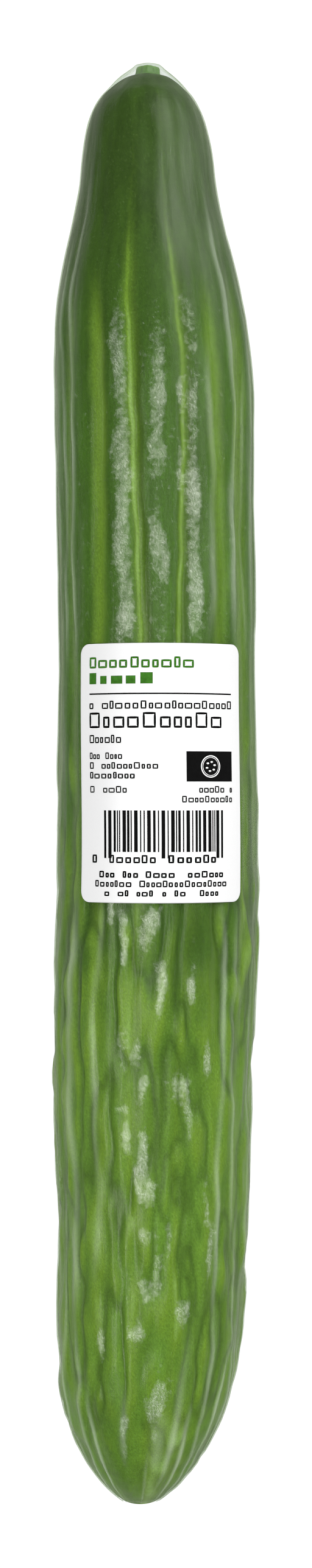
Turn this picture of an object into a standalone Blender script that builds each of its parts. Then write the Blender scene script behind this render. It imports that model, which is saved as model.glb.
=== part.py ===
"""A long greenhouse cucumber, film-wrapped and labelled as it is sold, lying on its side.

Four pieces: the ribbed fruit, the cut stub of its stem, the clear shrink film drawn over
both, and the plain sticker on the film. The fruit lies along Y with its stem towards +Y and
the sticker on top. The origin is on the surface it rests on, under the middle of its box.

Outlines are in millimetres. MM turns them to metres where the meshes are made.
"""

import math

import bmesh
import bpy
import numpy as np
from mathutils import Vector, noise

MM = 0.001

# Heights above the surface that the wrapped fruit rests on
AXIS_HEIGHT = 20.85
STEM_END_RISE = 1.6
BLOSSOM_END_RISE = 1.0

# The film's wall, built thicker than the real 0.03 mm, and the air between it and the fruit
FILM_WALL = 0.2
FILM_GAP = 0.25

# The fruit's outline over its rib crests: (position along Y, radius), from stem to blossom end
FRUIT_OUTLINE = [
    (150.4, 0.0), (150.45, 3.3), (150.05, 4.7), (149.1, 6.15), (147.8, 7.6), (145.9, 9.35),
    (143.0, 11.05), (138.8, 12.5), (133.6, 13.5), (126.0, 14.4), (118.1, 16.0), (110.0, 18.0),
    (102.6, 19.5), (95.0, 20.5), (86.0, 21.0), (69.0, 20.95), (43.0, 20.85), (20.0, 20.7),
    (0.0, 21.05), (-25.0, 21.4), (-48.0, 21.4), (-73.0, 20.8), (-99.0, 20.05), (-112.0, 19.75),
    (-120.0, 19.25), (-128.0, 18.15), (-134.0, 16.45), (-140.0, 13.75), (-145.8, 9.95),
    (-149.5, 6.45), (-151.8, 3.2), (-152.6, 0.0),
]

# The film over the stem and the shoulders, down to where it meets the fruit's own outline
FILM_TENT = [
    (153.1, 0.0), (153.05, 2.2), (152.75, 3.3), (152.15, 3.85), (151.2, 4.95), (150.2, 6.2),
    (149.1, 7.35), (147.7, 8.5),
]
TENT_FOOT = 146.5

# The round mouth that the film shrinks to round the blossom end
MOUTH_RADIUS = 4.3

# The stem stub's outline, from its cut face to its foot
STEM_OUTLINE = [
    (152.62, 0.0), (152.6, 2.2), (152.35, 2.6), (151.8, 2.75), (151.2, 2.85), (150.78, 3.0),
    (150.76, 2.5), (150.76, 0.0),
]
STEM_CORNERS = 5
STEM_CORNER_HEIGHT = 0.12

# How far the fruit's middle line bows to the side: (position along Y, offset along X)
SIDE_BOW = [
    (-153.0, -3.4), (-143.0, -2.85), (-130.0, -2.35), (-115.0, -1.35), (-99.0, -0.7),
    (-73.0, -0.75), (-48.0, -0.4), (-22.0, 0.3), (17.0, 0.15), (40.0, 0.15), (60.0, -0.25),
    (87.0, -0.55), (103.0, -1.3), (118.0, -1.7), (133.0, -1.8), (145.0, -2.0), (153.1, -1.6),
]

# Furrows between the ribs, by their angle from the top in degrees, positive towards +X
FURROW_ANGLES = [
    -82.0, -58.0, -35.0, -10.5, 16.0, 37.6, 59.5, 80.0, 101.0, 122.0, 142.5, 163.0, 197.0,
    217.5, 237.5, 257.5,
]
FURROW_DEPTH = 1.1
FURROW_HALF_WIDTH = 4.6
FURROW_SWAY = 2.2

# How much of the skin's hollows the tight film follows as it bridges them
FILM_FOLLOWS = 0.7

# How deep the furrows are along the fruit, as a share of FURROW_DEPTH
FURROW_STRENGTH = [
    (-153.0, 0.0), (-146.0, 0.25), (-125.0, 0.5), (-90.0, 0.6), (-40.0, 0.75), (20.0, 0.95),
    (90.0, 1.0), (120.0, 0.6), (138.0, 0.2), (153.1, 0.0),
]

# Long lumps that break up the ribs, mostly towards the blossom end, and none where it rests
LUMP_HEIGHT = 0.8
LUMP_WIDTH = 5.2
LUMP_LENGTH = 26.0
LUMP_STRENGTH = [
    (-153.0, 0.0), (-146.0, 0.3), (-120.0, 0.85), (-55.0, 1.0), (-26.0, 0.6), (0.0, 0.35),
    (30.0, 0.3), (100.0, 0.25), (130.0, 0.1), (153.1, 0.0),
]
RESTING_HALF_ANGLE = 18.0

# Low lobes round the stem
SHOULDER_LOBES = 5
SHOULDER_LOBE_DEPTH = 0.5
SHOULDER_LOBE_TURN = 0.7
SHOULDER_RADIUS = 7.5

# The sticker: its cut size, its corners and where its middle is
LABEL_WIDTH = 37.0
LABEL_LENGTH = 53.2
LABEL_CORNER = 2.2
LABEL_MIDDLE = 2.25
LABEL_TURN = 2.7
LABEL_LIFT = 0.45
LABEL_THICKNESS = 0.2

# Mesh fineness: columns to each rib, rings along, and the length one radian of turn adds
FRUIT_COLUMNS_PER_RIB, FRUIT_RINGS = 5, 44
FILM_COLUMNS_PER_RIB, FILM_RINGS = 4, 38
STEM_SIDES, STEM_RINGS = 30, 9
LABEL_COLUMNS, LABEL_ROWS = 16, 12
TURN_LENGTH = 22.0


def smooth_values(knots, values, where):
    """Reads a smooth curve that passes through values at the rising knots."""
    knots = np.asarray(knots, float)
    values = np.asarray(values, float).reshape(len(knots), -1)
    steps = np.diff(knots)
    slopes = np.diff(values, axis=0) / steps[:, None]
    before, after = steps[:-1, None], steps[1:, None]
    inner = (slopes[:-1] * after + slopes[1:] * before) / (before + after)
    tangents = np.vstack([slopes[:1], inner, slopes[-1:]])
    where = np.clip(np.asarray(where, float).ravel(), knots[0], knots[-1])
    span = np.clip(np.searchsorted(knots, where, side="right") - 1, 0, len(steps) - 1)
    width = steps[span][:, None]
    t = (where - knots[span])[:, None] / width
    return (
        (2 * t**3 - 3 * t**2 + 1) * values[span]
        + (t**3 - 2 * t**2 + t) * width * tangents[span]
        + (3 * t**2 - 2 * t**3) * values[span + 1]
        + (t**3 - t**2) * width * tangents[span + 1]
    )


def read_table(table, y):
    """A single number from a table of (position along Y, value)."""
    knots, values = zip(*table)
    return smooth_values(knots, values, [y])[0, 0]


def dense_outline(outline, count=2000):
    """An outline as many close points (y, radius) on a smooth curve through its own."""
    points = np.array(outline, float)
    lengths = np.concatenate([[0], np.cumsum(np.hypot(*np.diff(points, axis=0).T))])
    return smooth_values(lengths, points, np.linspace(0, lengths[-1], count))


def rings_along(outline, count):
    """count rings (y, radius) on an outline, closer together where it turns."""
    curve = dense_outline(outline)
    steps = np.diff(curve, axis=0)
    heading = np.unwrap(np.arctan2(steps[:, 1], steps[:, 0]))
    turn = np.abs(np.diff(heading, prepend=heading[0]))
    travel = np.concatenate([[0], np.cumsum(np.hypot(*steps.T) + TURN_LENGTH * turn)])
    places = np.linspace(0, travel[-1], count)
    return [(np.interp(p, travel, curve[:, 0]), np.interp(p, travel, curve[:, 1])) for p in places]


def film_outline():
    """The film's outside: the tent over the stem, then the fruit's outline pushed outwards."""
    curve = dense_outline(FRUIT_OUTLINE, 240)
    along = np.gradient(curve, axis=0)
    along /= np.hypot(*along.T)[:, None]
    outward = np.stack([-along[:, 1], along[:, 0]], axis=1)
    outward *= np.sign(outward[:, 1:2] + 1e-9)
    pushed = curve + outward * (FILM_WALL + FILM_GAP)
    tip = int(np.argmin(pushed[:, 0]))
    body = [tuple(p) for p in pushed[:tip] if p[0] < TENT_FOOT and p[1] > MOUTH_RADIUS]
    return FILM_TENT + body[::4] + body[-1:]


def middle_line(y):
    """Where the fruit's middle line is at a position along it: (x, z)."""
    rise = STEM_END_RISE * max(y / 153, 0) ** 2 + BLOSSOM_END_RISE * max(-y / 153, 0) ** 2
    return read_table(SIDE_BOW, y), AXIS_HEIGHT + rise


def angle_between(a, b):
    """Degrees from b to a, from -180 to 180."""
    return (a - b + 180) % 360 - 180


def furrow_angle(k, y):
    """Where a furrow runs at a position along the fruit, in degrees."""
    turn, k = divmod(k, len(FURROW_ANGLES))
    sway = FURROW_SWAY * math.sin(y / (17 + 3 * (k % 4)) + 2.4 * k)
    return 360 * turn + FURROW_ANGLES[k] + sway


def furrow_depth(angle, y):
    """How deep the furrows cut at an angle in degrees, in millimetres."""
    depth = 0.0
    for k in range(len(FURROW_ANGLES)):
        uneven = 0.8 + 0.2 * math.sin(y / 23 + 1.7 * k)
        off = angle_between(angle, furrow_angle(k, y)) / FURROW_HALF_WIDTH
        depth = max(depth, uneven * math.exp(-off * off))
    return FURROW_DEPTH * read_table(FURROW_STRENGTH, y) * depth


def lump_height(angle, y, radius):
    """How far the skin rises or drops in long lumps, in millimetres."""
    a = math.radians(angle)
    place = Vector((math.sin(a) * radius, math.cos(a) * radius, y * LUMP_WIDTH / LUMP_LENGTH))
    pressed = 1 - math.exp(-((angle_between(angle, 180) / RESTING_HALF_ANGLE) ** 2))
    return LUMP_HEIGHT * read_table(LUMP_STRENGTH, y) * pressed * noise.noise(place / LUMP_WIDTH)


def skin_height(angle, y, radius):
    """How far the fruit's skin is outside its plain outline, in millimetres."""
    height = lump_height(angle, y, radius) - furrow_depth(angle, y)
    if y > 130:
        lobe = 0.5 - 0.5 * math.cos(SHOULDER_LOBES * math.radians(angle) + SHOULDER_LOBE_TURN)
        height -= SHOULDER_LOBE_DEPTH * lobe * math.exp(-(((radius - SHOULDER_RADIUS) / 3) ** 2))
    return max(height, -0.3 * radius)


def place_round(angle, y, radius, lowest=-math.inf):
    """The point at an angle and a radius from the fruit's middle line, in millimetres."""
    x, z = middle_line(y)
    a = math.radians(angle)
    return x + radius * math.sin(a), y, max(z + radius * math.cos(a), lowest)


def fruit_point(angle, y, radius):
    radius += skin_height(angle, y, radius)
    return place_round(angle, y, radius, FILM_WALL + FILM_GAP)


def film_point(angle, y, radius):
    """A point on the film's outside, which follows the lumps but only partly the hollows."""
    if y < TENT_FOOT:
        height = skin_height(angle, y, radius)
        bridge = (1 - FILM_FOLLOWS) / 2
        radius += (1 - bridge) * height + bridge * math.hypot(height, 0.1)
    return place_round(angle, y, radius, 0.0)


def stem_point(angle, y, radius):
    """A point on the five-cornered stem stub, in millimetres."""
    radius *= 1 + STEM_CORNER_HEIGHT * math.cos(STEM_CORNERS * math.radians(angle)) / 2
    return place_round(angle, y, radius)


def label_point(angle, y, radius):
    return place_round(angle, y, radius + LABEL_LIFT)


def new_object(name, mesh, collection, material):
    obj = bpy.data.objects.new(name, mesh)
    collection.objects.link(obj)
    obj.data.materials.append(material)
    obj.data.shade_smooth()
    return obj


def bent_sphere(rings, sides, point_rule, columns_per_rib=None):
    """A round ball whose rings are moved onto an outline, so that it closes at both ends.

    Where columns_per_rib is given its columns run along the furrows and the ribs.
    """
    bm = bmesh.new()
    bmesh.ops.create_uvsphere(bm, u_segments=sides, v_segments=len(rings) - 1, radius=1.0)
    for vertex in bm.verts:
        across = math.acos(max(-1.0, min(1.0, vertex.co.z)))
        y, radius = rings[round(across / math.pi * (len(rings) - 1))]
        angle = math.degrees(math.atan2(-vertex.co.x, vertex.co.y)) % 360
        if columns_per_rib:
            k, part = divmod(round(angle / 360 * sides) % sides, columns_per_rib)
            start, end = furrow_angle(k, y), furrow_angle(k + 1, y)
            angle = start + (end - start) * part / columns_per_rib
        vertex.co = Vector(point_rule(angle, y, radius)) * MM
    return bm


def finish_mesh(bm, name):
    mesh = bpy.data.meshes.new(name)
    bm.to_mesh(mesh)
    bm.free()
    return mesh


def make_fruit(collection, material):
    rings = rings_along(FRUIT_OUTLINE, FRUIT_RINGS)
    sides = FRUIT_COLUMNS_PER_RIB * len(FURROW_ANGLES)
    bm = bent_sphere(rings, sides, fruit_point, FRUIT_COLUMNS_PER_RIB)
    return new_object("fruit", finish_mesh(bm, "fruit"), collection, material)


def make_stem(collection, material):
    bm = bent_sphere(rings_along(STEM_OUTLINE, STEM_RINGS), STEM_SIDES, stem_point)
    stem = new_object("stem", finish_mesh(bm, "stem"), collection, material)
    stem.data.set_sharp_from_angle(angle=math.radians(40))
    return stem


def make_film(collection, material):
    """An open skin with its mouth at the blossom end, thickened inwards."""
    rings = rings_along(film_outline(), FILM_RINGS)
    rings.append((rings[-1][0], 0.0))
    sides = FILM_COLUMNS_PER_RIB * len(FURROW_ANGLES)
    bm = bent_sphere(rings, sides, film_point, FILM_COLUMNS_PER_RIB)
    pole = min((v for v in bm.verts if len(v.link_edges) == sides), key=lambda v: v.co.y)
    bmesh.ops.delete(bm, geom=[pole], context="VERTS")
    film = new_object("shrink_film", finish_mesh(bm, "shrink_film"), collection, material)
    wall = film.modifiers.new("wall", "SOLIDIFY")
    wall.thickness = FILM_WALL * MM
    wall.offset = -1
    return film


def rounded_corner(across, along):
    """Moves a point of a rectangle's corner square onto a rounded corner, all in millimetres."""
    inner_x, inner_y = LABEL_WIDTH / 2 - LABEL_CORNER, LABEL_LENGTH / 2 - LABEL_CORNER
    a, b = (abs(across) - inner_x) / LABEL_CORNER, (abs(along) - inner_y) / LABEL_CORNER
    if a <= 0 or b <= 0:
        return across, along
    x = inner_x + LABEL_CORNER * a * math.sqrt(1 - b * b / 2)
    y = inner_y + LABEL_CORNER * b * math.sqrt(1 - a * a / 2)
    return math.copysign(x, across), math.copysign(y, along)


def spread(half, corner, share):
    """A grid line's place from -half to half, with two lines inside each corner."""
    if abs(share) <= 0.75:
        return share / 0.75 * (half - corner)
    return math.copysign(half - corner + corner * (abs(share) - 0.75) / 0.25, share)


def make_label(collection, material):
    """The sticker, bent round the film a little above it."""
    outline = film_outline()
    ys, radii = zip(*sorted(outline))
    bm = bmesh.new()
    bmesh.ops.create_grid(bm, x_segments=LABEL_COLUMNS, y_segments=LABEL_ROWS, size=1.0)
    for vertex in bm.verts:
        across = spread(LABEL_WIDTH / 2, LABEL_CORNER, vertex.co.x)
        along = spread(LABEL_LENGTH / 2, LABEL_CORNER, vertex.co.y)
        across, along = rounded_corner(across, along)
        y = LABEL_MIDDLE + along
        radius = float(np.interp(y, ys, radii))
        angle = LABEL_TURN + math.degrees(across / (radius + LABEL_LIFT))
        vertex.co = Vector(label_point(angle, y, radius)) * MM
    bmesh.ops.recalc_face_normals(bm, faces=bm.faces)
    if sum(face.normal.z for face in bm.faces) < 0:
        bmesh.ops.reverse_faces(bm, faces=bm.faces)
    label = new_object("label", finish_mesh(bm, "label"), collection, material)
    sheet = label.modifiers.new("thickness", "SOLIDIFY")
    sheet.thickness = LABEL_THICKNESS * MM
    sheet.offset = 1
    return label


def make_material(name, colour, roughness, alpha=1.0):
    material = bpy.data.materials.new(name)
    material.use_nodes = True
    shader = material.node_tree.nodes["Principled BSDF"]
    shader.inputs["Base Color"].default_value = (*colour, 1.0)
    shader.inputs["Roughness"].default_value = roughness
    shader.inputs["Metallic"].default_value = 0.0
    shader.inputs["Alpha"].default_value = alpha
    return material


def main():
    for obj in list(bpy.data.objects):
        bpy.data.objects.remove(obj, do_unlink=True)
    collection = bpy.data.collections.new("cucumber")
    bpy.context.scene.collection.children.link(collection)
    make_fruit(collection, make_material("cucumber skin", (0.075, 0.19, 0.03), 0.4))
    make_stem(collection, make_material("stem", (0.19, 0.36, 0.05), 0.55))
    make_film(collection, make_material("shrink film", (0.9, 0.93, 0.9), 0.15, alpha=0.15))
    make_label(collection, make_material("label paper", (0.9, 0.9, 0.9), 0.5))


main()
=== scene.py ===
"""A shrink-wrapped greenhouse cucumber with its label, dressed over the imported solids.

The fruit, its stem, the film and the label are rebuilt fine enough to show their ribs, folds
and print. Shapes are worked out in millimetres and MM turns them to metres.
"""

import math
from functools import partial

import bmesh
import bpy
import numpy as np
from bpy.props import FloatProperty, FloatVectorProperty, IntProperty, PointerProperty
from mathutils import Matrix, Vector, noise


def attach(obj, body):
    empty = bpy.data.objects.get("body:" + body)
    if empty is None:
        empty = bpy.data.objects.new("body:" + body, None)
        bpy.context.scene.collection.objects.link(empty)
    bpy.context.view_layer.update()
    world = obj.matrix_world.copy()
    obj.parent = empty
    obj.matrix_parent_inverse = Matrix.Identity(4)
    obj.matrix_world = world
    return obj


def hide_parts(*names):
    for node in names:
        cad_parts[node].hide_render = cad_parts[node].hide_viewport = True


bl_info = {
    "name": "Shrink-wrapped cucumber",
    "version": (1, 0, 0),
    "blender": (4, 5, 0),
    "location": "View3D > Sidebar > Cucumber",
    "description": "Builds a film-wrapped cucumber with a plain label over its packed solids",
    "category": "Add Mesh",
}

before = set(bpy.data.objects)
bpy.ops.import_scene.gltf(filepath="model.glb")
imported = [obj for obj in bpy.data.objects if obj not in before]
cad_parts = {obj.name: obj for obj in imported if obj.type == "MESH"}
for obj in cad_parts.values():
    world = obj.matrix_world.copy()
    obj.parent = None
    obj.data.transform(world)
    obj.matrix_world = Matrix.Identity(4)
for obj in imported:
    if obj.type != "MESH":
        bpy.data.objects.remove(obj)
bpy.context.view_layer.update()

MM = 0.001
WHITE = (1, 1, 1, 1)

# Outlines (position along Y, radius) from the stem to the blossom end
FRUIT_OUTLINE = [
    (149.6, 0), (149.65, 3.3), (149.3, 4.7), (148.4, 6.15), (147.2, 7.6), (145.5, 9.35),
    (142.9, 11.05), (138.8, 12.5), (133.6, 13.5), (126, 14.4), (118.1, 16), (110, 18),
    (102.6, 19.5), (95, 20.5), (86, 21), (69, 20.95), (43, 20.85), (20, 20.7), (0, 21.05),
    (-25, 21.4), (-48, 21.4), (-73, 20.8), (-99, 20.05), (-112, 19.75), (-120, 19.25),
    (-128, 18.15), (-134, 16.45), (-140, 13.75), (-145.8, 9.95), (-149.5, 6.45), (-151.8, 3.2),
    (-152.6, 0),
]
FILM_TENT = [
    (152.3, 0), (152.25, 2), (151.95, 2.9), (151.4, 3.5), (150.4, 4.7), (149.4, 6),
    (148.3, 7.2), (147, 8.35),
]
TENT_FOOT = 145.9
MOUTH_RADIUS = 4.3
STEM_OUTLINE = [
    (151.35, 0), (151.5, 0.8), (151.75, 1.4), (151.8, 1.85), (151.65, 2.2), (151.3, 2.4),
    (150.7, 2.45), (150.2, 2.55), (149.9, 2.85), (149.7, 3.3), (149.6, 3), (149.6, 0),
]
STEM_SIDES, STEM_RINGS = 96, 60

# The middle line: its height, the rise of both ends, and (position along Y, bow along X)
HALF_LENGTH = 153
AXIS_HEIGHT = 20.85
STEM_END_RISE = 1.6
BLOSSOM_END_RISE = 1.0
SIDE_BOW = [
    (-153, -3.4), (-143, -2.85), (-130, -2.35), (-115, -1.35), (-99, -0.7), (-73, -0.75),
    (-48, -0.4), (-22, 0.3), (17, 0.15), (40, 0.15), (60, -0.25), (87, -0.55), (103, -1.3),
    (118, -1.7), (133, -1.8), (145, -2), (153.1, -1.6),
]

# How far the skin and the film are outside the fruit's outline, and the skin's lowest height
SKIN_LIFT = 0.02
FILM_LIFT = 0.27
LOWEST_SKIN = 0.35

# Furrows: angle from the top and half width in degrees, how pale the furrow is, and how pale
# a thin line on its left side is, partly its own colour and partly a painted highlight
FURROWS = [
    (-82, 4.6, 0.5, 0), (-58, 4.6, 0.35, 0), (-35.5, 4.8, 1, 0), (-10.5, 4.6, 0.62, 1),
    (16, 3.6, 0.5, 1), (37.6, 5, 0.7, 0), (59.5, 6, 0.7, 0), (80, 4.6, 0.5, 0),
    (101, 4.6, 0.6, 0), (122, 4.2, 0.9, 0.3), (142.5, 4.6, 0.6, 0), (163, 4.6, 0.8, 0.2),
    (197, 4.6, 0.7, 0), (217.5, 4.6, 0.9, 0.3), (237.5, 4.6, 0.6, 0), (257.5, 5.2, 0.8, 0),
]
WIDEST_FURROW = 4.6
FURROW_SWAY = 2.2
# Painted shade on the flanks of two ribs: angle, half width in degrees, and how dark
PAINTED_FLANK_SHADE = [(-27.5, 3.2, 0.6), (25.5, 1.8, 0.5)]
# How deep and how pale the furrows are along the fruit
FURROW_STRENGTH = [
    (-153, 0), (-146, 0.2), (-125, 0.35), (-90, 0.4), (-40, 0.5), (20, 0.95), (88, 1),
    (100, 0.7), (110, 0.38), (121, 0.16), (138, 0.08), (153.1, 0),
]
FURROW_PALENESS = [
    (-153, 0.15), (-120, 0.3), (-40, 0.45), (0, 0.9), (40, 1), (96, 1), (107, 0.75),
    (115, 0.3), (126, 0.14), (142, 0.08), (153.1, 0.05),
]

# Long lumps, their size across and along the fruit, and how strong they are along it
LUMP_WIDTH = 5.2
LUMP_LENGTH = 30.0
LUMP_STRENGTH = [
    (-153, 0), (-148, 0.2), (-138, 0.55), (-115, 0.9), (-80, 1), (-30, 0.95), (0, 0.5),
    (30, 0.25), (100, 0.18), (130, 0.08), (153.1, 0),
]
RESTING_HALF_ANGLE = 18.0

# Lengthwise folds in the film: angle, half width in degrees, height in mm, and from Y to Y
FILM_FOLDS = [
    (-54, 1.7, 0.36, 128, 24), (-63, 1.5, 0.3, 114, 24), (-72, 1.2, 0.2, 104, 40),
    (50, 1.9, 0.36, 126, 26), (69, 1.4, 0.28, 110, 36), (33, 2.2, 0.24, 92, 28),
    (60, 1.3, 0.18, 90, 26), (77, 1.2, 0.2, 96, 24), (-52.5, 2.8, 0.34, -22, -112),
    (-34.5, 1.9, 0.24, -22, -104), (41.3, 1.7, 0.36, -22, -118), (51, 1.5, 0.28, -26, -100),
    (70, 1.4, 0.28, -30, -146), (78, 1.1, 0.2, -30, -140), (-74, 1.2, 0.2, -40, -140),
    (60, 1.5, 0.28, -84, -124), (-64, 1.5, 0.24, -80, -128), (44, 1.6, 0.3, -106, -163),
    (-50, 1.6, 0.34, -110, -163), (-14, 2.2, 0.26, -122, -142), (9, 5, 0.16, -126, -146),
    (22, 2.6, 0.24, -112, -150), (-38, 1.6, 0.28, -122, -163), (31, 2, 0.34, -128, -163),
    (56, 1.4, 0.34, -112, -163), (67, 1.4, 0.3, -104, -160), (3, 1.8, 0.22, -136, -163),
    (-64, 1.5, 0.3, -112, -160), (104, 1.6, 0.26, 120, -120), (128, 1.6, 0.2, 60, -140),
    (150, 2.4, 0.3, 140, -149), (206, 1.6, 0.24, 110, -60), (228, 1.6, 0.22, 40, -146),
    (252, 1.6, 0.26, 124, -130),
]

# How strongly the film crinkles where it clings to the skin, and so where sparkle is painted
# on it: along the fruit, along three ribs (angle, half width in degrees, strength), and in
# patches (angle, Y, half width, half length)
CRINKLE_STRENGTH = [
    (-153, 0.1), (-130, 0.15), (-60, 0.22), (60, 0.3), (95, 0.25), (112, 0.12), (124, 0.05),
    (153.1, 0),
]
CRINKLED_RIBS = [(-17.6, 6.4, 0.95), (0.8, 6, 0.75), (21.4, 5.4, 0.9)]
CRINKLED_LENGTH = (113, 24)
CRINKLED_PATCHES = [
    (-27, -26, 3, 2.4), (-19, -29, 3.5, 3.4), (-17.5, -34, 3, 2.4), (-2, -28, 6, 4.2),
    (5, -40, 5, 3), (3, -44, 4.5, 2), (20, -42, 2.4, 4), (-14.5, -55, 6, 3.6),
    (-6, -62, 3.5, 2), (-15, -66, 4, 2.2), (-15.5, -73, 3.4, 2.4), (-5, -76, 3.6, 5),
    (32, -57, 3, 3.6), (14, -62, 6, 3.4), (19, -67, 4, 4), (-68, -83, 2.5, 7),
    (-7, -80, 5, 2.6), (-3, -84, 6, 2.4), (0, -92, 8, 2.4), (36, -96, 3, 5),
    (3, -97, 5, 2), (-2, -103, 9, 3), (-8.5, -112, 3.4, 3.4), (20, -108, 6, 1.8),
    (-30, -113, 2.6, 3), (33, -88, 2.6, 4), (8, -128, 6, 7), (-14, -134, 2.6, 5),
]

# Where the label's middle is, and its turn from the top in degrees
LABEL_MIDDLE = 2.25
LABEL_TURN = 2.7
# How far the label is outside the film's plain outline, and the film's top face under it
LABEL_GAP = 0.1
PRESSED_GAP = LABEL_GAP - 0.08
INK_THICKNESS = 0.02

# Rows of boxes on the label: boxes, left and right edge, bottom and top, the share left
# blank, the stroke of the boxes' outlines (0 where they are filled), all in mm, and the seed
BLACK_ROWS = [
    (21, -15.9, 15.9, 13.2, 14.8, 0.1, 0.2, 1), (10, -15.9, 13.2, 9.3, 12.4, 0, 0.32, 2),
    (6, -15.9, -8.4, 6.2, 7.8, 0.15, 0.2, 3), (8, -15.9, -8.2, 2.9, 4.2, 0.12, 0.18, 4),
    (13, -15.9, -0.8, 0.9, 2.2, 0.12, 0.18, 5), (9, -15.9, -5.6, -1.1, 0.2, 0.1, 0.18, 6),
    (6, -15.9, -7.3, -4, -2.7, 0.15, 0.18, 7), (8, 7.7, 15.9, -4, -2.7, 0.1, 0.18, 8),
    (10, 4, 15.9, -6, -4.7, 0.1, 0.18, 9), (6, -11.2, -1.4, -18.4, -16.8, 0, 0.24, 10),
    (6, 1.1, 11.6, -18.4, -16.8, 0, 0.24, 11), (1, -15.4, -14.2, -18.4, -16.8, 0, 0.24, 12),
    (20, -13.6, 13.4, -21.4, -20.1, 0.14, 0.23, 13), (24, -14.6, 14.3, -23.3, -22, 0.16, 0.2, 14),
    (20, -12.3, 12.2, -25.2, -24, 0.16, 0.2, 15),
]
GREEN_ROWS = [(10, -15.9, 6.7, 21.6, 23.8, 0, 0.3, 21), (5, -15.9, -1.8, 18.3, 20.6, 0, 0, 22)]
# The line under the heading and the box that the slice sign is in: left, right, bottom, top
PLATES = [(-15.9, 15.9, 16.12, 16.42), (5, 15.9, -1.75, 4.46)]
SIGN_MIDDLE = (10.45, 1.35)


def linear(hex_colour):
    """The linear colour of an sRGB hex value such as 3F6A22, and its alpha."""
    parts = [int(hex_colour[i : i + 2], 16) / 255 for i in (0, 2, 4)]
    parts = (c / 12.92 if c <= 0.04045 else ((c + 0.055) / 1.055) ** 2.4 for c in parts)
    return (*parts, 1.0)


def colour(name, description, default):
    """A colour setting whose default is an sRGB hex value."""
    return FloatVectorProperty(name=name, description=description, default=linear(default),
                               subtype="COLOR", size=4, min=0, max=1)


def span(name, description, default):
    """A setting for a length in metres."""
    return FloatProperty(name=name, description=description, default=default, min=0,
                         unit="LENGTH", precision=5)


def power(name, description, default):
    """A setting for a light's power in watts."""
    return FloatProperty(name=name, description=description, default=default, unit="POWER")


class SkinSettings(bpy.types.PropertyGroup):
    sides: IntProperty(name="Sides", description="Columns round the fruit", default=300, min=60)
    rings: IntProperty(name="Rings", description="Rings along the fruit", default=250, min=40)
    furrow_depth: span("Furrow Depth", "Depth of the furrows between the ribs", 1.1 * MM)
    lump_height: span("Lump Height", "Height of the lumps at the blossom end", 0.8 * MM)
    neck: colour("Neck", "Skin at the stem end", "324A16")
    rib: colour("Rib", "Skin on the ribs of the middle", "3D5E19")
    low_rib: colour("Blossom End Rib", "Skin on the ribs of the blossom half", "587B28")
    furrow: colour("Furrow", "Pale skin in the furrows", "658527")
    # The speck colour also paints the highlight on the thin lines
    speck_and_highlight: colour("Speck", "Fine pale pores", "8CA86A")


class StemSettings(bpy.types.PropertyGroup):
    cut: colour("Cut Face", "The stub's pale cut face", "68982A")
    bark: colour("Side", "The stub's green side", "4C7A24")


class FilmSettings(bpy.types.PropertyGroup):
    sides: IntProperty(name="Sides", description="Columns round the film", default=320, min=60)
    rings: IntProperty(name="Rings", description="Rings along the film", default=150, min=40)
    wall: span("Wall", "Thickness of the film", 0.05 * MM)
    tint: colour("Tint", "What one face of the film lets through", "FAFBFB")
    edge_tint: colour("Edge Tint", "What it lets through at a slant", "D8E1D3")
    shine: colour("Shine", "What it mirrors", "FFFFF1")
    # Also the colour of the painted sparkle on the crinkles and the painted sheen on the neck
    cloud_and_sparkle: colour("Cloud", "The film where it is doubled or crinkled", "E7F1DD")


class LabelSettings(bpy.types.PropertyGroup):
    width: span("Width", "Width of the flat label", 37.0 * MM)
    length: span("Length", "Length of the flat label", 53.2 * MM)
    corner: span("Corner", "Radius of its corners", 2.3 * MM)
    thickness: span("Thickness", "Thickness of the label", 0.1 * MM)
    paper: colour("Paper", "The label's white", "DCDCDC")
    black_ink: colour("Black Ink", "The print's black", "0A0A0A")
    green_ink: colour("Green Ink", "The print's green", "35661F")


class StudioSettings(bpy.types.PropertyGroup):
    camera_distance: span("Camera Distance", "From the camera to the fruit's middle", 0.55)
    view_length: span("View Length", "What the picture shows from end to end", 0.3332)
    sky: FloatProperty(name="Sky", description="Brightness all round", default=0.3, min=0)
    overhead: power("Overhead Light", "Power of the light above", 2.4)
    left: power("Left Light", "Power of the long light at the left", 2.9)
    right: power("Right Light", "Power of the light at the right", 0.8)
    side: power("Stem End Light", "Power of the light at the right of the stem end", 6.4)
    strip: power("Strip Light", "Power of the narrow light at the right", 0.7)


def unit(values):
    """Values kept from 0 to 1."""
    return np.clip(values, 0, 1)


def hump(off, half_width):
    """1 where off is 0, falling smoothly to 0 on both sides."""
    return np.exp(-((off / half_width) ** 2))


def smooth_values(knots, values, where):
    """Reads a smooth curve that passes through values at the rising knots."""
    knots = np.asarray(knots, float)
    values = np.asarray(values, float).reshape(len(knots), -1)
    steps = np.diff(knots)
    slopes = np.diff(values, axis=0) / steps[:, None]
    before, after = steps[:-1, None], steps[1:, None]
    inner = (slopes[:-1] * after + slopes[1:] * before) / (before + after)
    tangents = np.vstack([slopes[:1], inner, slopes[-1:]])
    where = np.clip(np.asarray(where, float).ravel(), knots[0], knots[-1])
    k = np.clip(np.searchsorted(knots, where, side="right") - 1, 0, len(steps) - 1)
    width = steps[k][:, None]
    t = (where - knots[k])[:, None] / width
    return (
        (2 * t**3 - 3 * t**2 + 1) * values[k]
        + (t**3 - 2 * t**2 + t) * width * tangents[k]
        + (3 * t**2 - 2 * t**3) * values[k + 1]
        + (t**3 - t**2) * width * tangents[k + 1]
    )


def read_table(table, y):
    """The values of a table of (position along Y, value) at many positions."""
    knots, values = zip(*table)
    y = np.asarray(y, float)
    return smooth_values(knots, values, y)[:, 0].reshape(y.shape)


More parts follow.
